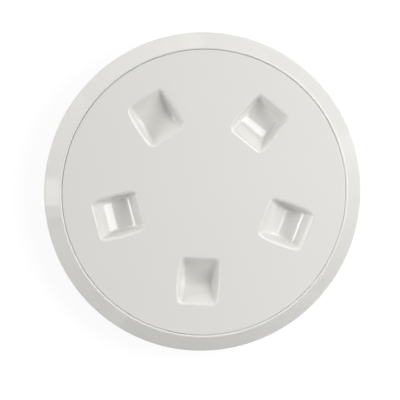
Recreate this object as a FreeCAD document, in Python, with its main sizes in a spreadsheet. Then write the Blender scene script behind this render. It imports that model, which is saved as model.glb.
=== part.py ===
import FreeCAD, Part
import os
import re
import Sketcher

# Deck inspection plate: a mounting ring let into the deck, a lid that screws into it flush with
# the ring's top edge, and the O-ring between them. Millimetres, +Z up, origin at the middle of the
# deck's surface, which the ring's flange lies on.

SIZES = {
    # mounting ring
    "neck_radius": 78.5,  # outside of the neck that goes through the deck
    "neck_wall": 2.8,
    "neck_depth": 20.0,  # below the deck's surface
    "ledge_width": 11.15,  # from the neck's outside to the wall of the lid's recess
    "bevel_width": 10.35,  # from the wall of the lid's recess to the flange's outside
    "bevel_angle": 33.0,  # slope of the bevel, degrees
    "edge_height": 3.0,  # upright outer edge of the flange
    "bevel_wall": 2.6,  # over the cored underside of the bevel
    "recess_wall": 2.4,  # between the lid's recess and the cored underside
    "core_count": 24,  # cored cells round the underside
    "core_rib": 1.8,  # between two cored cells
    "screw_count": 8,  # countersunk holes in the ledge, under the lid
    "screw_hole": 4.3,  # diameter
    "screw_head": 8.0,  # diameter of the countersink
    # lid
    "lid_gap": 0.12,  # round the lid's edge
    "lid_sunk": 0.4,  # lid's face below the ring's rounded top edge
    "lid_wall": 3.1,
    "ledge_gap": 0.3,  # between the lid's underside and the ledge
    "skirt_gap": 2.3,  # between the lid's skirt and the neck
    "skirt_wall": 2.6,
    "skirt_depth": 13.0,  # below the deck's surface
    "rib_wall": 1.8,  # hub and ribs under the lid
    "rib_depth": 6.0,
    "hub_radius": 22.0,
    # finger pockets, measured at the lid's face
    "finger_count": 5,
    "finger_inset": 0.6,  # from the skirt's inside to a pocket's outer end
    "finger_length": 29.0,  # along the lid's radius
    "finger_width": 25.5,  # across the radius, at its widest
    "finger_bulge": 1.0,  # rise of the two bowed sides
    "finger_depth": 9.2,
    "end_slope": 48.0,  # of the inner and outer walls, degrees from level
    "side_draft": 17.0,  # lean of the two bowed walls, degrees
    "side_round": 2.8,  # between a bowed wall and the hollowed floor
    "finger_wall": 2.5,  # wall round a pocket
    "mouth_round": 2.0,
    # O-ring
    "cord": 3.2,  # diameter of its section
    "cord_gap": 0.25,  # to the skirt, the lid's underside and the seat
    # edges
    "bevel_round": 1.0,  # along the bevel's crest, beside the lid
    "edge_round": 1.5,  # between the bevel and the upright edge
    "lid_round": 0.35,
    "small_round": 0.4,
}

# Places worked out from the sizes, as expressions of the document.
NECK_BORE = "(neck_radius - neck_wall)"
RECESS = "(neck_radius + ledge_width)"
FLANGE = f"({RECESS} + bevel_width)"
BEVEL_SLOPE = "tan(bevel_angle * 1deg)"
BEVEL_CORNER = f"(edge_height + bevel_width * {BEVEL_SLOPE})"
BEVEL_TOP = f"({BEVEL_CORNER} - bevel_round * ({BEVEL_SLOPE} + 1 / cos(bevel_angle * 1deg) - 1))"
LID_EDGE = f"({RECESS} - lid_gap)"
LID_TOP = f"({BEVEL_TOP} - lid_sunk)"
LID_UNDER = f"({LID_TOP} - lid_wall)"
LEDGE = f"({LID_UNDER} - ledge_gap)"
SKIRT = f"({NECK_BORE} - skirt_gap)"
SKIRT_BORE = f"({SKIRT} - skirt_wall)"
FINGER_CIRCLE = f"({SKIRT_BORE} - finger_inset - finger_length / 2)"
# a pocket's floor is one arc, and its inner and outer walls run on from it
END_SLOPE = "tan(end_slope * 1deg)"
FINGER_ARC = f"((finger_length / 2 * {END_SLOPE} - finger_depth) / (1 / cos(end_slope * 1deg) - 1))"
FINGER_HEART = f"({LID_TOP} - finger_depth + {FINGER_ARC})"
CORD_CIRCLE = f"({SKIRT} + cord_gap + cord / 2)"
CORD_LEVEL = f"({LID_UNDER} - cord_gap - cord / 2)"
# the O-ring's seat slopes at 45 degrees, so radius minus height is the same all along it
SEAT_LINE = f"({CORD_CIRCLE} - {CORD_LEVEL} + sqrt(2) * (cord / 2 + cord_gap))"
SEAT_EDGE = f"({SEAT_LINE} + {LEDGE})"
SCREW_CIRCLE = f"(({SEAT_EDGE} + {RECESS}) / 2)"

CLOSE = 0.01

doc = FreeCAD.newDocument("deck_inspection_plate")
sheet = doc.addObject("Spreadsheet::Sheet", "Sizes")
for row, (size_name, size) in enumerate(SIZES.items(), start=1):
    sheet.set(f"A{row}", size_name)
    sheet.set(f"B{row}", str(size))
    sheet.setAlias(f"B{row}", size_name)
doc.recompute()


def bound(text):
    """An expression with every size name in it read from the sheet."""
    return re.sub(r"\b(?!pi\b)[a-z][a-z_]*\b(?!\()", r"Sizes.\g<0>", text)


def value(text):
    """The present value of such an expression."""
    result = sheet.evalExpression(bound(text))
    return float(getattr(result, "Value", result))


def new_body(name):
    """An empty body, labelled with its name."""
    body = doc.addObject("PartDesign::Body", name)
    body.Label = name
    return body


def origin_part(body, role):
    """The origin plane or axis of a body that has this role."""
    return next(part for part in body.Origin.OriginFeatures if part.Role == role)


def sketch_on(body, role, name, height="0"):
    """An empty sketch on an origin plane of the body, lifted off it by height."""
    sketch = body.newObject("Sketcher::SketchObject", name)
    sketch.AttachmentSupport = [(origin_part(body, role), "")]
    sketch.MapMode = "FlatFace"
    sketch.setExpression("AttachmentOffset.Base.z", bound(height))
    return sketch


def point_at(across, up):
    """A point of a sketch, from two expressions."""
    return FreeCAD.Vector(value(across), value(up), 0)


def pin_point(sketch, line, end, across, up):
    """Hold an end of a line at two expressions, measured from the sketch's origin."""
    for kind, axis, text in (("DistanceX", -2, across), ("DistanceY", -1, up)):
        if text == "0":
            sketch.addConstraint(Sketcher.Constraint("PointOnObject", line, end, axis))
            continue
        rule = sketch.addConstraint(Sketcher.Constraint(kind, -1, 1, line, end, value(text)))
        sketch.setExpression(f"Constraints[{rule}]", bound(text))


def hold_radius(sketch, curve, radius):
    """Hold the radius of a circle or arc at an expression."""
    rule = sketch.addConstraint(Sketcher.Constraint("Radius", curve, value(radius)))
    sketch.setExpression(f"Constraints[{rule}]", bound(radius))


def outline(sketch, corners):
    """A closed outline of straight lines through corners given as pairs of expressions."""
    points = [point_at(across, up) for across, up in corners]
    for start, end in zip(points, points[1:] + points[:1]):
        sketch.addGeometry(Part.LineSegment(start, end), False)
    for index, (across, up) in enumerate(corners):
        following = (index + 1) % len(corners)
        sketch.addConstraint(Sketcher.Constraint("Coincident", index, 2, following, 1))
        pin_point(sketch, index, 1, across, up)


def circle(sketch, across, up, radius):
    """A circle in the sketch, its middle and radius given as expressions."""
    shape = Part.Circle(point_at(across, up), FreeCAD.Vector(0, 0, 1), value(radius))
    curve = sketch.addGeometry(shape, False)
    pin_point(sketch, curve, 3, across, up)
    hold_radius(sketch, curve, radius)


def bowed_plan(sketch, half_length, half_width):
    """A closed outline with two straight ends and two bowed sides, round the pocket's middle.

    A side rises by finger_bulge over the pocket's length, and keeps that radius to the ends.
    """
    bow = "((finger_length ^ 2 + 4 * finger_bulge ^ 2) / (8 * finger_bulge))"
    end_half = f"({half_width} - {bow} + sqrt({bow} ^ 2 - {half_length} ^ 2))"
    near = f"({half_length} - {FINGER_CIRCLE})"
    far = f"(-{half_length} - {FINGER_CIRCLE})"
    corners = ((f"-{end_half}", near), (f"-{end_half}", far), (end_half, far), (end_half, near))
    crests = {
        0: point_at(f"-{half_width}", f"-{FINGER_CIRCLE}"),
        2: point_at(half_width, f"-{FINGER_CIRCLE}"),
    }
    points = [point_at(across, up) for across, up in corners]
    for index, (start, end) in enumerate(zip(points, points[1:] + points[:1])):
        if index in crests:
            sketch.addGeometry(Part.Arc(start, crests[index], end), False)
        else:
            sketch.addGeometry(Part.LineSegment(start, end), False)
    for index in range(len(corners)):
        following = (index + 1) % len(corners)
        sketch.addConstraint(Sketcher.Constraint("Coincident", index, 2, following, 1))
    for index in (1, 3):
        pin_point(sketch, index, 1, *corners[index])
        pin_point(sketch, index, 2, *corners[(index + 1) % len(corners)])
    for index in crests:
        hold_radius(sketch, index, bow)


def scoop(sketch, half_length, top, low, radius):
    """A closed outline of two sloping walls and the arc between them, at the first pocket."""
    low_half = f"({radius} * sin(end_slope * 1deg))"
    low_level = f"({FINGER_HEART} - {radius} * cos(end_slope * 1deg))"
    corners = (
        (f"-{FINGER_CIRCLE} - {low_half}", low_level),
        (f"-{FINGER_CIRCLE} + {low_half}", low_level),
        (f"-{FINGER_CIRCLE} + {half_length}", top),
        (f"-{FINGER_CIRCLE} - {half_length}", top),
    )
    points = [point_at(across, up) for across, up in corners]
    sketch.addGeometry(Part.Arc(points[0], point_at(f"-{FINGER_CIRCLE}", low), points[1]), False)
    for start, end in zip(points[1:], points[2:] + points[:1]):
        sketch.addGeometry(Part.LineSegment(start, end), False)
    for index, (across, up) in enumerate(corners):
        following = (index + 1) % len(corners)
        sketch.addConstraint(Sketcher.Constraint("Coincident", index, 2, following, 1))
        if index:
            pin_point(sketch, index, 1, across, up)
    pin_point(sketch, 0, 1, *corners[0])
    hold_radius(sketch, 0, radius)


def turn(body, kind, name, sketch):
    """A revolution or groove of a sketch round the body's upright axis."""
    made = body.newObject(f"PartDesign::{kind}", name)
    made.Profile = sketch
    made.ReferenceAxis = (sketch, ["V_Axis"])
    body.Tip = made
    return made


def pad_down(body, name, sketch, length):
    """A pad of a level sketch, downwards."""
    made = body.newObject("PartDesign::Pad", name)
    made.Profile = sketch
    made.Reversed = True
    made.setExpression("Length", bound(length))
    body.Tip = made
    return made


def ring_of_copies(body, name, count, original=None):
    """Copies about the upright axis, of one feature or of all that the body holds."""
    doc.recompute()
    made = body.newObject("PartDesign::PolarPattern", name)
    if original is None:
        body.AllowCompound = True
        made.TransformMode = "Whole shape"
    else:
        made.Originals = [original]
    made.Axis = (origin_part(body, "Z_Axis"), [""])
    made.Angle = 360
    made.setExpression("Occurrences", bound(count))
    body.Tip = made
    return made


def combine(body, name, kind, tool):
    """Join another body to this one, cut it away, or keep what they share."""
    doc.recompute()
    made = body.newObject("PartDesign::Boolean", name)
    made.Type = kind
    made.setObjects([tool])
    body.Tip = made
    return made


def rounded(body, name, base, chosen, radius):
    """Round the edges of the base feature that chosen picks from its shape."""
    doc.recompute()
    picked = chosen(base.Shape)
    names = [
        f"Edge{index}"
        for index, edge in enumerate(base.Shape.Edges, start=1)
        if any(edge.isSame(other) for other in picked)
    ]
    if not names:
        raise RuntimeError(f"{name}: no edge to round")
    made = body.newObject("PartDesign::Fillet", name)
    made.Base = (base, names)
    made.setExpression("Radius", bound(radius))
    body.Tip = made
    return made


def turned_edges(*places):
    """A choice of the edges that are circles about the upright axis, at (radius, height)."""
    wanted = [(value(radius), value(height)) for radius, height in places]

    def chosen(shape):
        found = []
        for edge in shape.Edges:
            curve = edge.Curve
            if not isinstance(curve, Part.Circle) or curve.Center.x**2 + curve.Center.y**2 > CLOSE:
                continue
            if any(
                abs(curve.Radius - radius) < CLOSE and abs(curve.Center.z - height) < CLOSE
                for radius, height in wanted
            ):
                found.append(edge)
        return found

    return chosen


def make_ring():
    """The mounting ring: bevelled flange, recess, ledge with screw holes, seat and neck."""
    body = new_body("ring")
    section = sketch_on(body, "XZ_Plane", "ring_section")
    outline(
        section,
        (
            (NECK_BORE, "-neck_depth"),
            ("neck_radius", "-neck_depth"),
            ("neck_radius", "0"),
            (FLANGE, "0"),
            (FLANGE, "edge_height"),
            (RECESS, BEVEL_CORNER),
            (RECESS, LEDGE),
            (SEAT_EDGE, LEDGE),
            (NECK_BORE, f"{NECK_BORE} - {SEAT_LINE}"),
        ),
    )
    turn(body, "Revolution", "ring_turned", section)
    core_cells(body)
    holes = screw_holes(body)
    crest = turned_edges((RECESS, BEVEL_CORNER))
    crest_edge = rounded(body, "crest_edge", holes, crest, "bevel_round")
    outer = turned_edges((FLANGE, "edge_height"))
    outer_edge = rounded(body, "outer_edge", crest_edge, outer, "edge_round")
    lower = turned_edges(
        ("neck_radius", "-neck_depth"),
        (NECK_BORE, "-neck_depth"),
        ("neck_radius", "0"),
        (FLANGE, "0"),
    )
    rounded(body, "lower_edges", outer_edge, lower, "small_round")
    return body


def core_cells(body):
    """Cells cored out under the bevel, with ribs left between them down to the deck."""
    inside = f"({RECESS} + recess_wall)"
    outside = f"({FLANGE} - bevel_wall)"
    wall_upright = "(bevel_wall / cos(bevel_angle * 1deg))"
    top = f"({BEVEL_CORNER} - recess_wall * {BEVEL_SLOPE} - {wall_upright})"
    below = "(-bevel_wall)"
    section = sketch_on(body, "XZ_Plane", "core_section")
    outline(
        section,
        (
            (inside, below),
            (outside, below),
            (outside, f"{top} - ({outside} - {inside}) * {BEVEL_SLOPE}"),
            (inside, top),
        ),
    )
    cell = turn(body, "Groove", "core_cell", section)
    cell.Midplane = True
    rib_angle = f"(core_rib / {inside} * 180 / pi)"
    cell.setExpression("Angle", bound(f"(360 / core_count - {rib_angle}) * 1deg"))
    return ring_of_copies(body, "core_cells", "core_count", cell)


def screw_holes(body):
    """Countersunk screw holes round the middle of the ledge."""
    spot = sketch_on(body, "XY_Plane", "screw_spot", LEDGE)
    circle(spot, SCREW_CIRCLE, "0", "screw_hole / 2")
    doc.recompute()
    hole = body.newObject("PartDesign::Hole", "screw_hole")
    hole.Profile = spot
    hole.DepthType = "ThroughAll"
    hole.setExpression("Diameter", bound("screw_hole"))
    hole.HoleCutType = "Countersink"
    hole.HoleCutCustomValues = True
    hole.HoleCutCountersinkAngle = 90
    hole.setExpression("HoleCutDiameter", bound("screw_head"))
    body.Tip = hole
    return ring_of_copies(body, "screw_holes", "screw_count", hole)


def finger_form(name, wall, rise):
    """The form of the finger pockets, grown by wall: the space in them, or their outside.

    Along the lid's radius it has two sloping end walls and one arc between them. From above it
    has two straight ends and two bowed sides, which lean in with depth. Its top stands the rise
    above the lid's face. The first pocket lies on -Y.
    """
    top = f"({LID_TOP} + {rise})"
    low = f"({LID_TOP} - finger_depth - {wall})"
    depth = f"({top} - {low} + finger_wall)"
    side_lean = "tan(side_draft * 1deg)"
    arc = f"({FINGER_ARC} + {wall})"
    top_half = f"(finger_length / 2 + {wall} / sin(end_slope * 1deg) + {rise} / {END_SLOPE})"
    half_width = f"(finger_width / 2 + {wall} / cos(side_draft * 1deg) + {rise} * {side_lean})"

    body = new_body(name)
    profile = sketch_on(body, "YZ_Plane", f"{name}_profile")
    scoop(profile, top_half, top, low, arc)
    block = body.newObject("PartDesign::Pad", f"{name}_block")
    block.Profile = profile
    block.Midplane = True
    block.setExpression("Length", bound(f"3 * {half_width}"))
    body.Tip = block

    plan_body = new_body(f"{name}_plan")
    plan = sketch_on(plan_body, "XY_Plane", f"{name}_bows", top)
    bowed_plan(plan, f"(1.5 * {top_half})", half_width)
    leaning = pad_down(plan_body, f"{name}_leaning", plan, depth)
    leaning.setExpression("TaperAngle", bound("-side_draft * 1deg"))
    shared = combine(body, f"{name}_shared", "Common", plan_body)

    def side_edges(shape):
        sides = [face for face in shape.Faces if abs(face.CenterOfMass.x) > value("finger_width / 4")]
        return [
            edge for face in sides for edge in face.Edges
            if edge.CenterOfMass.z < value(top) - CLOSE
        ]

    rounded(body, f"{name}_sides", shared, side_edges, f"side_round + {wall}")
    ring_of_copies(body, f"{name}_copies", "finger_count")
    return body


def make_lid():
    """The lid: disc with finger pockets, skirt, and a hub and ribs underneath."""
    body = new_body("lid")
    section = sketch_on(body, "XZ_Plane", "lid_section")
    outline(
        section,
        (
            ("0", LID_UNDER),
            (SKIRT_BORE, LID_UNDER),
            (SKIRT_BORE, "-skirt_depth"),
            (SKIRT, "-skirt_depth"),
            (SKIRT, LID_UNDER),
            (LID_EDGE, LID_UNDER),
            (LID_EDGE, LID_TOP),
            ("0", LID_TOP),
        ),
    )
    turn(body, "Revolution", "lid_turned", section)
    lid_ribs(body)
    outside = finger_form("finger_outside", "finger_wall", "(-lid_wall / 2)")
    combine(body, "pocket_walls", "Fuse", outside)
    space = finger_form("finger_space", "0", "lid_wall")
    pockets = combine(body, "pockets", "Cut", space)

    rim = turned_edges((LID_EDGE, LID_TOP))

    def mouths(shape):
        return [
            edge
            for edge in shape.Edges
            if abs(edge.CenterOfMass.z - value(LID_TOP)) < CLOSE
            and edge.BoundBox.ZLength < CLOSE
            and edge.BoundBox.XLength < value("2 * finger_length")
        ]

    mouth_edges = rounded(body, "mouth_edges", pockets, mouths, "mouth_round")
    rim_edge = rounded(body, "rim_edge", mouth_edges, rim, "lid_round")
    skirt = turned_edges((SKIRT, "-skirt_depth"), (SKIRT_BORE, "-skirt_depth"))
    rounded(body, "skirt_edges", rim_edge, skirt, "small_round")
    return body


def lid_ribs(body):
    """A round hub under the middle of the lid, with ribs to the skirt between the pockets."""
    hub = sketch_on(body, "XY_Plane", "hub_plan", LID_UNDER)
    circle(hub, "0", "0", "hub_radius")
    circle(hub, "0", "0", "hub_radius - rib_wall")
    pad_down(body, "hub", hub, "rib_depth")
    rib = sketch_on(body, "XY_Plane", "rib_plan", LID_UNDER)
    inner = "(hub_radius - rib_wall / 2)"
    outer = f"({SKIRT_BORE} + skirt_wall / 2)"
    outline(
        rib,
        (
            ("-rib_wall / 2", inner),
            ("rib_wall / 2", inner),
            ("rib_wall / 2", outer),
            ("-rib_wall / 2", outer),
        ),
    )
    rib_pad = pad_down(body, "rib", rib, "rib_depth")
    return ring_of_copies(body, "ribs", "finger_count", rib_pad)


def make_o_ring():
    """The O-ring, round the lid's skirt and over the ring's sloping seat."""
    cord = doc.addObject("Part::Torus", "o_ring")
    cord.Label = "o_ring"
    cord.setExpression("Radius1", bound(CORD_CIRCLE))
    cord.setExpression("Radius2", bound("cord / 2"))
    cord.setExpression("Placement.Base.z", bound(CORD_LEVEL))
    return cord


parts = [make_ring(), make_lid(), make_o_ring()]
doc.recompute()
for item in doc.Objects:
    if "Invalid" in item.State or "Error" in item.State:
        raise RuntimeError(f"{item.Name} failed: {item.getStatusString()}")
for part in parts:
    if part.Shape.isNull() or not part.Shape.isValid() or len(part.Shape.Solids) != 1:
        raise RuntimeError(f"{part.Label} isn't one sound solid")
os.makedirs("parts", exist_ok=True)
for part in parts:
    part.Shape.exportStep(f"parts/{part.Label}.step")
    print(part.Label, round(part.Shape.Volume), "mm3,", len(part.Shape.Faces), "faces")
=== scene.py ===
"""Looks of a round screw-in deck inspection plate: finishes, the screw thread, studio and camera."""

import logging
import math
from dataclasses import dataclass
from enum import Enum

import bmesh
import bpy
from mathutils import Matrix, Vector


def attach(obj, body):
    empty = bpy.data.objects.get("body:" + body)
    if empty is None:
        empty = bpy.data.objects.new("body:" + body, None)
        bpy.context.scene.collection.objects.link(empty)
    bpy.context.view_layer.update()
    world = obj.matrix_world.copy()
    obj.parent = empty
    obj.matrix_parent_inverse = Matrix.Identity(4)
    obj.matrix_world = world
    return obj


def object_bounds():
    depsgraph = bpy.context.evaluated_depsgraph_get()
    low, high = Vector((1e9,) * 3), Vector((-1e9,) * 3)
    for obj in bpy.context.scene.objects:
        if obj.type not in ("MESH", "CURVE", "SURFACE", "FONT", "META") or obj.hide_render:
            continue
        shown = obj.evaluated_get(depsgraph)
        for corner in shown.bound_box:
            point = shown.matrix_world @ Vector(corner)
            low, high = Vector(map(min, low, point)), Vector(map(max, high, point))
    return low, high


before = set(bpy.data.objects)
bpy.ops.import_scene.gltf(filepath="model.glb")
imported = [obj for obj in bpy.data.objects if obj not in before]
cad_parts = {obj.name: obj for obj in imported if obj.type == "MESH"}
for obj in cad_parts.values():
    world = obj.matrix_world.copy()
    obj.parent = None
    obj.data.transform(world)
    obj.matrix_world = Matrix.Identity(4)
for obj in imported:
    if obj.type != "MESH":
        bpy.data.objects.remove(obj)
CAD_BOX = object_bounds()

MM = 0.001
WHITE = (1.0, 1.0, 1.0, 1.0)
# Socket numbers of a colour Mix node: its factor, its two colours and its result.
MIX_FACTOR, MIX_FIRST, MIX_SECOND, MIX_RESULT = 0, 6, 7, 2
log = logging.getLogger("deck_plate")


def linear(hex_colour: str) -> tuple[float, float, float, float]:
    """Turn an sRGB hex colour into linear RGBA.

    Args:
        hex_colour: six hex digits with a leading hash.

    Returns:
        Linear red, green, blue and an alpha of 1.
    """
    parts = [int(hex_colour[i : i + 2], 16) / 255 for i in (1, 3, 5)]
    return (*[c / 12.92 if c <= 0.04045 else ((c + 0.055) / 1.055) ** 2.4 for c in parts], 1.0)


def per_metre(size_mm: float) -> float:
    """Noise scale of a pattern whose repeat has this size in millimetres."""
    return 1 / (size_mm * MM)


def add_node(
    tree: bpy.types.NodeTree, kind: str, settings: dict | None = None, links: dict | None = None
) -> bpy.types.Node:
    """Add one node, set its properties and sockets, and link what feeds it.

    Args:
        tree: the node tree that takes the node.
        kind: Blender's name of the node type.
        settings: property names, or socket names or numbers, with their values.
        links: socket names or numbers of this node with the outputs that feed them.

    Returns:
        The new node.
    """
    node = tree.nodes.new(kind)
    for name, setting in (settings or {}).items():
        if isinstance(name, str) and name in node.bl_rna.properties:
            setattr(node, name, setting)
        else:
            node.inputs[name].default_value = setting
    for name, source in (links or {}).items():
        tree.links.new(source, node.inputs[name])
    return node


def empty_tree(owner: bpy.types.Material | bpy.types.World) -> bpy.types.NodeTree:
    """Switch a material or a world to nodes and clear its tree.

    Args:
        owner: the material or the world.

    Returns:
        Its node tree, with nothing in it.
    """
    owner.use_nodes = True
    owner.node_tree.nodes.clear()
    return owner.node_tree


@dataclass(frozen=True)
class MouldedPlastic:
    """White weather-proof ABS, injection moulded in a polished cavity.

    Gives the eye a warm off-white with a wet gloss on top, a faint orange peel in the
    reflections, and a duller, finely textured underside.

    Args:
        name: the material's name.
        colour: its colour where the pigment lies thick.
        shade: its colour where the pigment lies thin.
        cloud_mm: size of the clouds that the two colours make.
        gloss: roughness of the polished top.
        satin: roughness of the sides that the deck hides.
        ior: refractive index of the skin.
        polished_to_mm: height down to which the skin is polished.
        satin_below_mm: height below which it is satin.
        faces_down: upright part of the normal at which a face starts to count as facing down.
        faces_full_down: upright part of the normal at which it fully does.
        peel_mm: size of the orange peel.
        peel_depth_mm: height of the orange peel.
        peel_strength: share of that height that the light shows.
        grain_mm: size of the cavity's grain, drawn as coarse as it needs to show.
        grain_depth_mm: height of the grain.
        grain_strength: share of that height that the light shows.
    """

    name: str = "moulded_white_abs"
    colour: str = "#DCDBD7"
    shade: str = "#DAD9D5"
    cloud_mm: float = 60.0
    gloss: float = 0.05
    satin: float = 0.42
    ior: float = 1.6
    polished_to_mm: float = -0.9
    satin_below_mm: float = -1.3
    faces_down: float = -0.3
    faces_full_down: float = -0.6
    peel_mm: float = 2.4
    peel_depth_mm: float = 0.1
    peel_strength: float = 0.05
    grain_mm: float = 0.35
    grain_depth_mm: float = 0.05
    grain_strength: float = 0.02

    def hidden(self, tree: bpy.types.NodeTree, where: bpy.types.Node) -> bpy.types.Node:
        """Find the skin below the deck and the skin that faces down.

        Args:
            tree: the material's node tree.
            where: its coordinates.

        Returns:
            A node whose output is 1 on such skin and 0 on the polished top.
        """
        height = add_node(tree, "ShaderNodeSeparateXYZ", {}, {"Vector": where.outputs["Object"]})
        below = add_node(
            tree, "ShaderNodeMapRange",
            {"From Min": self.polished_to_mm * MM, "From Max": self.satin_below_mm * MM},
            {"Value": height.outputs["Z"]},
        )
        facing = add_node(tree, "ShaderNodeSeparateXYZ", {}, {"Vector": where.outputs["Normal"]})
        down = add_node(
            tree, "ShaderNodeMapRange",
            {"From Min": self.faces_down, "From Max": self.faces_full_down},
            {"Value": facing.outputs["Z"]},
        )
        return add_node(
            tree, "ShaderNodeMath",
            {"operation": "MAXIMUM"}, {0: below.outputs["Result"], 1: down.outputs["Result"]},
        )

    def relief(self, tree: bpy.types.NodeTree, where: bpy.types.Node) -> bpy.types.Node:
        """Lay the cavity's fine grain over the orange peel.

        Args:
            tree: the material's node tree.
            where: its coordinates.

        Returns:
            The bump node that carries both.
        """
        place = where.outputs["Object"]
        peel = add_node(
            tree, "ShaderNodeTexNoise",
            {"Scale": per_metre(self.peel_mm), "Detail": 1.0}, {"Vector": place},
        )
        grain = add_node(
            tree, "ShaderNodeTexNoise",
            {"Scale": per_metre(self.grain_mm), "Detail": 2.0}, {"Vector": place},
        )
        peel_bump = add_node(
            tree, "ShaderNodeBump",
            {"Strength": self.peel_strength, "Distance": self.peel_depth_mm * MM},
            {"Height": peel.outputs["Fac"]},
        )
        return add_node(
            tree, "ShaderNodeBump",
            {"Strength": self.grain_strength, "Distance": self.grain_depth_mm * MM},
            {"Height": grain.outputs["Fac"], "Normal": peel_bump.outputs["Normal"]},
        )

    def material(self) -> bpy.types.Material:
        """Build the node material.

        Returns:
            The finished material.
        """
        mat = bpy.data.materials.new(self.name)
        tree = empty_tree(mat)
        where = add_node(tree, "ShaderNodeTexCoord")
        cloud = add_node(
            tree, "ShaderNodeTexNoise",
            {"Scale": per_metre(self.cloud_mm), "Detail": 2.0}, {"Vector": where.outputs["Object"]},
        )
        tone = add_node(
            tree, "ShaderNodeMix",
            {
                "data_type": "RGBA",
                MIX_FIRST: linear(self.colour),
                MIX_SECOND: linear(self.shade),
            },
            {MIX_FACTOR: cloud.outputs["Fac"]},
        )
        sheen = add_node(
            tree, "ShaderNodeMapRange",
            {"To Min": self.gloss, "To Max": self.satin},
            {"Value": self.hidden(tree, where).outputs["Value"]},
        )
        shader = add_node(
            tree, "ShaderNodeBsdfPrincipled",
            {"IOR": self.ior},
            {
                "Base Color": tone.outputs[MIX_RESULT],
                "Roughness": sheen.outputs["Result"],
                "Normal": self.relief(tree, where).outputs["Normal"],
            },
        )
        add_node(tree, "ShaderNodeOutputMaterial", {}, {"Surface": shader.outputs["BSDF"]})
        return mat


@dataclass(frozen=True)
class SealRubber:
    """Black nitrile rubber, moulded and lightly greased.

    Gives the eye a deep black with a broad soft sheen that varies with the grease.

    Args:
        name: the material's name.
        colour: its colour under grease.
        rubbed: its colour where the grease is rubbed off.
        greased: roughness under grease.
        dry: roughness where it is rubbed off.
        ior: refractive index of rubber.
        smear_mm: size of the smears.
    """

    name: str = "black_nitrile_rubber"
    colour: str = "#1B1B1C"
    rubbed: str = "#29292A"
    greased: float = 0.28
    dry: float = 0.62
    ior: float = 1.52
    smear_mm: float = 6.0

    def material(self) -> bpy.types.Material:
        """Build the node material.

        Returns:
            The finished material.
        """
        mat = bpy.data.materials.new(self.name)
        tree = empty_tree(mat)
        where = add_node(tree, "ShaderNodeTexCoord")
        smear = add_node(
            tree, "ShaderNodeTexNoise",
            {"Scale": per_metre(self.smear_mm), "Detail": 4.0}, {"Vector": where.outputs["Object"]},
        )
        tone = add_node(
            tree, "ShaderNodeMix",
            {
                "data_type": "RGBA",
                MIX_FIRST: linear(self.colour),
                MIX_SECOND: linear(self.rubbed),
            },
            {MIX_FACTOR: smear.outputs["Fac"]},
        )
        sheen = add_node(
            tree, "ShaderNodeMapRange",
            {"To Min": self.greased, "To Max": self.dry}, {"Value": smear.outputs["Fac"]},
        )
        shader = add_node(
            tree, "ShaderNodeBsdfPrincipled",
            {"IOR": self.ior},
            {"Base Color": tone.outputs[MIX_RESULT], "Roughness": sheen.outputs["Result"]},
        )
        add_node(tree, "ShaderNodeOutputMaterial", {}, {"Surface": shader.outputs["BSDF"]})
        return mat


@dataclass(frozen=True)
class BackdropPaper:
    """Matt white paper under the plate.

    Gives the eye plain white with the plate's soft shadow. Light that bounces off it meets
    a greyer sheet, so that it adds little to the plate's own light.

    Args:
        name: the material's name.
        seen: diffuse share of what the camera sees, which carries the shadow.
        glow: plain white in what the camera sees, where 1 is white.
        thrown_back: the colour that all other light meets.
        fibre_mm: size of the paper's tooth.
        fibre_depth_mm: height of the tooth.
        fibre_strength: share of that height that the light shows.
    """

    name: str = "matt_white_paper"
    seen: str = "#666666"
    glow: float = 0.90
    thrown_back: str = "#BCBCBC"
    fibre_mm: float = 0.6
    fibre_depth_mm: float = 0.05
    fibre_strength: float = 0.03

    def material(self) -> bpy.types.Material:
        """Build the node material.

        Returns:
            The finished material.
        """
        mat = bpy.data.materials.new(self.name)
        tree = empty_tree(mat)
        where = add_node(tree, "ShaderNodeTexCoord")
        fibre = add_node(
            tree, "ShaderNodeTexNoise",
            {"Scale": per_metre(self.fibre_mm), "Detail": 3.0}, {"Vector": where.outputs["Object"]},
        )
        tooth = add_node(
            tree, "ShaderNodeBump",
            {"Strength": self.fibre_strength, "Distance": self.fibre_depth_mm * MM},
            {"Height": fibre.outputs["Fac"]},
        )
        grey = add_node(
            tree, "ShaderNodeBsdfDiffuse",
            {"Color": linear(self.thrown_back)}, {"Normal": tooth.outputs["Normal"]},
        )
        shadowed = add_node(
            tree, "ShaderNodeBsdfDiffuse",
            {"Color": linear(self.seen)}, {"Normal": tooth.outputs["Normal"]},
        )
        white = add_node(
            tree, "ShaderNodeEmission", {"Color": WHITE, "Strength": self.glow}
        )
        shown = add_node(
            tree, "ShaderNodeAddShader", {}, {0: shadowed.outputs[0], 1: white.outputs[0]}
        )
        path = add_node(tree, "ShaderNodeLightPath")
        mirrored = add_node(
            tree, "ShaderNodeMath", {"operation": "ADD"},
            {0: path.outputs["Is Camera Ray"], 1: path.outputs["Is Glossy Ray"]},
        )
        viewed = add_node(
            tree, "ShaderNodeMath", {"operation": "ADD", "use_clamp": True},
            {0: mirrored.outputs[0], 1: path.outputs["Is Transmission Ray"]},
        )
        mix = add_node(
            tree, "ShaderNodeMixShader", {},
            {0: viewed.outputs[0], 1: grey.outputs[0], 2: shown.outputs[0]},
        )
        add_node(tree, "ShaderNodeOutputMaterial", {}, {"Surface": mix.outputs[0]})
        return mat


class Facing(Enum):
    """Which way a thread's ridge stands out from its wall."""

    OUTWARD = 1
    INWARD = -1


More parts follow.
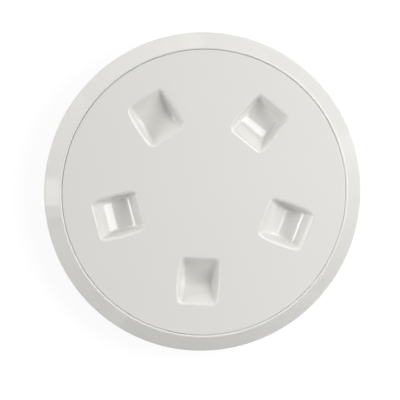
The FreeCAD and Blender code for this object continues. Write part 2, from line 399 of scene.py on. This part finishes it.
@dataclass
class ThreadRidge:
    """One ridge of the coarse screw thread, wound right-handed round a wall of a moulding.

    Args:
        name: the piece's name.
        body: the body that it rides on.
        facing: which way it stands out from the wall.
        wall: radius of the wall, in millimetres.
        low: height of its middle at its lower end, in millimetres.
        start: where it starts, in turns from +X.
        turns: its length, in turns.
        rise: how far it stands out, in millimetres.
        root: its width along the axis at the wall, in millimetres.
        crest: its width at the top, in millimetres.
        pitch: rise along the axis in one turn, in millimetres.
        sunk: how deep its root lies in the wall, in millimetres.
        steps: facets in one turn.
        smooth_below: the angle between faces up to which they shade as one, in degrees.
    """

    name: str
    body: str
    facing: Facing
    wall: float
    low: float
    start: float
    turns: float
    rise: float = 1.7
    root: float = 2.4
    crest: float = 1.1
    pitch: float = 5.0
    sunk: float = 0.4
    steps: int = 72
    smooth_below: float = 25.0

    def wind(self, mat: bpy.types.Material) -> bpy.types.Object:
        """Model the ridge and hang it on its body.

        Args:
            mat: the moulding's material.

        Returns:
            The ridge's object.
        """
        ridge = self.draw_section()
        screw = ridge.modifiers.new("winding", "SCREW")
        screw.angle = math.tau * self.turns
        screw.screw_offset = self.pitch * MM * self.turns
        screw.steps = screw.render_steps = round(self.steps * self.turns)
        screw.use_merge_vertices = False
        bpy.ops.object.modifier_apply(modifier=screw.name)
        self.close_ends()
        bpy.ops.object.shade_smooth_by_angle(angle=math.radians(self.smooth_below))
        ridge.data.materials.append(mat)
        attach(ridge, self.body)
        return ridge

    def draw_section(self) -> bpy.types.Object:
        """Draw the ridge's tapered section where it starts, its root sunk in the wall.

        Returns:
            The section's object, at the origin.
        """
        side = self.facing.value
        depth = self.sunk + self.rise
        middle = self.wall + side * (depth / 2 - self.sunk)
        taper = (self.root - self.crest) / self.rise
        sunk_root = self.root + taper * self.sunk
        heading = math.tau * self.start
        bpy.ops.object.select_all(action="DESELECT")
        bpy.ops.mesh.primitive_plane_add(
            size=1.0,
            location=(middle * MM * math.cos(heading), middle * MM * math.sin(heading), self.low * MM),
            rotation=(math.radians(90), 0.0, heading),
        )
        section = bpy.context.active_object
        section.name = self.name
        section.scale = (depth * MM, sunk_root * MM, 1.0)
        bpy.ops.object.transform_apply(location=True, rotation=True, scale=True)
        bpy.ops.object.mode_set(mode="EDIT")
        bpy.ops.mesh.select_mode(type="VERT")
        mesh = bmesh.from_edit_mesh(section.data)
        for corner in mesh.verts:
            corner.select_set((corner.co.xy.length - middle * MM) * side > 0)
        mesh.select_flush_mode()
        bmesh.update_edit_mesh(section.data)
        bpy.ops.transform.resize(
            value=(1.0, 1.0, self.crest / sunk_root), center_override=(0.0, 0.0, self.low * MM)
        )
        bpy.ops.object.mode_set(mode="OBJECT")
        return section

    def close_ends(self) -> None:
        """Close both ends of the wound ridge and turn its faces outward."""
        bpy.ops.object.mode_set(mode="EDIT")
        bpy.ops.mesh.select_all(action="DESELECT")
        bpy.ops.mesh.select_mode(type="EDGE")
        bpy.ops.mesh.select_non_manifold()
        bpy.ops.mesh.edge_face_add()
        bpy.ops.mesh.select_all(action="SELECT")
        bpy.ops.mesh.normals_make_consistent(inside=False)
        bpy.ops.object.mode_set(mode="OBJECT")


def dress(piece: bpy.types.Object, mat: bpy.types.Material) -> bpy.types.Object:
    """Give every material slot of a piece the same finish.

    Args:
        piece: the object to dress.
        mat: its material.

    Returns:
        The same object.
    """
    if not piece.material_slots:
        piece.data.materials.append(mat)
    for slot in piece.material_slots:
        slot.material = mat
    return piece


@dataclass
class MountingRing:
    """The ring that is screwed down to the deck, with a female thread in its neck.

    Args:
        node: the CAD node, which is also its body.
        bore: radius of the neck's inner wall, in millimetres.
        thread_low: height of the thread's lower end, in millimetres.
        thread_turns: length of the thread, in turns.
    """

    node: str = "ring"
    bore: float = 75.7
    thread_low: float = -15.0
    thread_turns: float = 2.0

    def build(self, plastic: bpy.types.Material) -> list[bpy.types.Object]:
        """Dress the moulding and wind its thread.

        Args:
            plastic: its finish.

        Returns:
            The moulding and the ridge.
        """
        thread = ThreadRidge(
            name="ring_thread", body=self.node, facing=Facing.INWARD, wall=self.bore,
            low=self.thread_low, start=0.0, turns=self.thread_turns,
        )
        return [dress(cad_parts[self.node], plastic), thread.wind(plastic)]


@dataclass
class ScrewLid:
    """The lid with its finger pockets, and a male thread round its skirt.

    Args:
        node: the CAD node, which is also its body.
        skirt: radius of the skirt's outer wall, in millimetres.
        thread_low: height of the thread's lower end, in millimetres.
        thread_start: where the thread starts, in turns from +X.
        thread_turns: length of the thread, in turns.
    """

    node: str = "lid"
    skirt: float = 73.4
    thread_low: float = -11.6
    thread_start: float = 0.05
    thread_turns: float = 1.6

    def build(self, plastic: bpy.types.Material) -> list[bpy.types.Object]:
        """Dress the moulding and wind its thread.

        Args:
            plastic: its finish.

        Returns:
            The moulding and the ridge.
        """
        thread = ThreadRidge(
            name="lid_thread", body=self.node, facing=Facing.OUTWARD, wall=self.skirt,
            low=self.thread_low, start=self.thread_start, turns=self.thread_turns,
        )
        return [dress(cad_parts[self.node], plastic), thread.wind(plastic)]


@dataclass
class Seal:
    """The O-ring that the lid squeezes on the ring's ledge.

    Args:
        node: the CAD node.
    """

    node: str = "o_ring"

    def build(self, rubber: bpy.types.Material) -> list[bpy.types.Object]:
        """Dress the O-ring and return it."""
        return [dress(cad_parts[self.node], rubber)]


@dataclass(frozen=True)
class Softbox:
    """One studio lamp that faces the plate.

    Args:
        name: the lamp's name.
        azimuth: degrees from +X towards +Y.
        elevation: degrees above the floor.
        distance: metres from the plate's middle.
        spread: degrees of azimuth that it fills.
        rise: degrees of elevation that it fills.
        radiance: brightness of the lamp's face, where 1 is white.
        roll: its turn about its own axis, in degrees.
    """

    name: str
    azimuth: float
    elevation: float
    distance: float
    spread: float
    rise: float
    radiance: float
    roll: float = 0.0

    def across(self, angle: float) -> float:
        """Length in metres that fills an angle, given in degrees, at the lamp's distance."""
        return 2 * self.distance * math.tan(math.radians(angle) / 2)

    def hang(self) -> bpy.types.Object:
        """Place the lamp and turn its face to the plate.

        Returns:
            The lamp's object.
        """
        turn, lift = math.radians(self.azimuth), math.radians(self.elevation)
        data = bpy.data.lights.new(self.name, "AREA")
        data.shape = "RECTANGLE"
        data.size = self.across(self.spread) * math.cos(lift)
        data.size_y = self.across(self.rise)
        data.energy = self.radiance * math.pi * data.size * data.size_y
        lamp = bpy.data.objects.new(self.name, data)
        bpy.context.collection.objects.link(lamp)
        away = Vector((
            math.cos(lift) * math.cos(turn), math.cos(lift) * math.sin(turn), math.sin(lift)
        ))
        lamp.location = away * self.distance
        rolled = Matrix.Rotation(math.radians(self.roll), 3, "Z")
        lamp.rotation_euler = (away.to_track_quat("Z", "Y").to_matrix() @ rolled).to_euler()
        return lamp


# Name, azimuth, elevation, distance, spread, rise, radiance and roll of each lamp. The key lights
# the face from the right; the rest are what the rim and the pockets mirror.
LAMPS = (
    Softbox("key_softbox", 20, 49.3, 1.05, 55, 47, 4.68),
    Softbox("right_panel", 340, 53, 2.0, 40, 30, 1.0),
    Softbox("low_right_panel", 330, 38, 2.0, 50, 30, 0.5),
    Softbox("low_right_card", 350, 25, 0.9, 60, 20, 0.55),
    Softbox("side_strip", 179, 22, 3.5, 56, 9, 7.8, -7),
    Softbox("low_left_card", 180, 8, 3.5, 90, 10, 2.1),
    Softbox("left_panel", 171, 30, 3.5, 54, 14, 1.1),
    Softbox("left_glint", 187, 32, 3.5, 12, 8, 1.8),
    Softbox("back_panel", 84, 53, 2.5, 30, 42, 1.2),
    Softbox("back_card", 122, 20, 3.0, 70, 24, 0.8),
    Softbox("low_back_card", 85, 12, 3.0, 60, 14, 1.9),
    Softbox("side_card", 75, 32, 3.0, 40, 26, 0.35),
    Softbox("front_left_card", 225, 20, 3.0, 50, 20, 0.7),
    Softbox("front_card", 285, 22, 2.5, 80, 20, 0.42),
)


@dataclass
class Studio:
    """Pale floor, soft light and the camera.

    Args:
        floor_level: height of the floor, in metres.
        floor_size: length of its side, in metres.
        world_level: strength of the even light from all sides.
        tilt: the camera's angle from straight above, in degrees.
        towards: the side that it leans to, in degrees from +X.
        roll: its turn about its own axis, in degrees.
        distance: from the camera to the aim, in metres.
        aim: the point that it looks at, in metres.
        lens: its focal length, in millimetres.
        sensor: width of its sensor, in millimetres.
    """

    floor_level: float
    floor_size: float = 8.0
    world_level: float = 0.03
    tilt: float = 8.7
    towards: float = 154.7
    roll: float = 3.3
    distance: float = 3.0
    aim: tuple[float, float, float] = (-0.00134, -0.00532, 0.0)
    lens: float = 430.4
    sensor: float = 36.0

    def build(self) -> list[bpy.types.Object]:
        """Set up the whole studio.

        Returns:
            The floor, the camera and the lamps.
        """
        bpy.context.scene.view_settings.view_transform = "Standard"
        self.sky()
        return [self.floor(), self.camera(), *[lamp.hang() for lamp in LAMPS]]

    def sky(self) -> None:
        """Light the scene faintly and evenly from all sides."""
        world = bpy.data.worlds.new("studio")
        bpy.context.scene.world = world
        tree = empty_tree(world)
        glow = add_node(
            tree, "ShaderNodeBackground", {"Color": WHITE, "Strength": self.world_level}
        )
        add_node(tree, "ShaderNodeOutputWorld", {}, {"Surface": glow.outputs["Background"]})

    def floor(self) -> bpy.types.Object:
        """Lay the paper that the plate stands on.

        Returns:
            The floor's object.
        """
        bpy.ops.object.select_all(action="DESELECT")
        bpy.ops.mesh.primitive_plane_add(size=self.floor_size, location=(0, 0, self.floor_level))
        ground = dress(bpy.context.active_object, BackdropPaper().material())
        ground.name = "floor"
        return ground

    def camera(self) -> bpy.types.Object:
        """Place the camera at the photograph's angle.

        Returns:
            The camera's object.
        """
        data = bpy.data.cameras.new("camera")
        data.lens = self.lens
        data.sensor_width = self.sensor
        eye = bpy.data.objects.new("camera", data)
        bpy.context.collection.objects.link(eye)
        tilt, towards = math.radians(self.tilt), math.radians(self.towards)
        away = Vector((
            math.sin(tilt) * math.cos(towards), math.sin(tilt) * math.sin(towards), math.cos(tilt)
        ))
        up = Matrix.Rotation(math.radians(self.roll), 3, "Z") @ Vector((0, 1, 0))
        right = up.cross(away).normalized()
        up = away.cross(right)
        eye.location = Vector(self.aim) + away * self.distance
        eye.rotation_euler = Matrix((right, up, away)).transposed().to_euler()
        bpy.context.scene.camera = eye
        return eye


def main() -> None:
    """Build the classes in order and report each piece."""
    logging.basicConfig(level=logging.INFO, format="%(name)s: %(message)s")
    plastic = MouldedPlastic().material()
    rubber = SealRubber().material()
    for part, finish in ((MountingRing(), plastic), (ScrewLid(), plastic), (Seal(), rubber)):
        for piece in part.build(finish):
            log.info("%s: %s, %d faces", type(part).__name__, piece.name, len(piece.data.polygons))
    for thing in Studio(floor_level=CAD_BOX[0].z).build():
        log.info("studio: %s", thing.name)


if __name__ == "__main__":
    main()
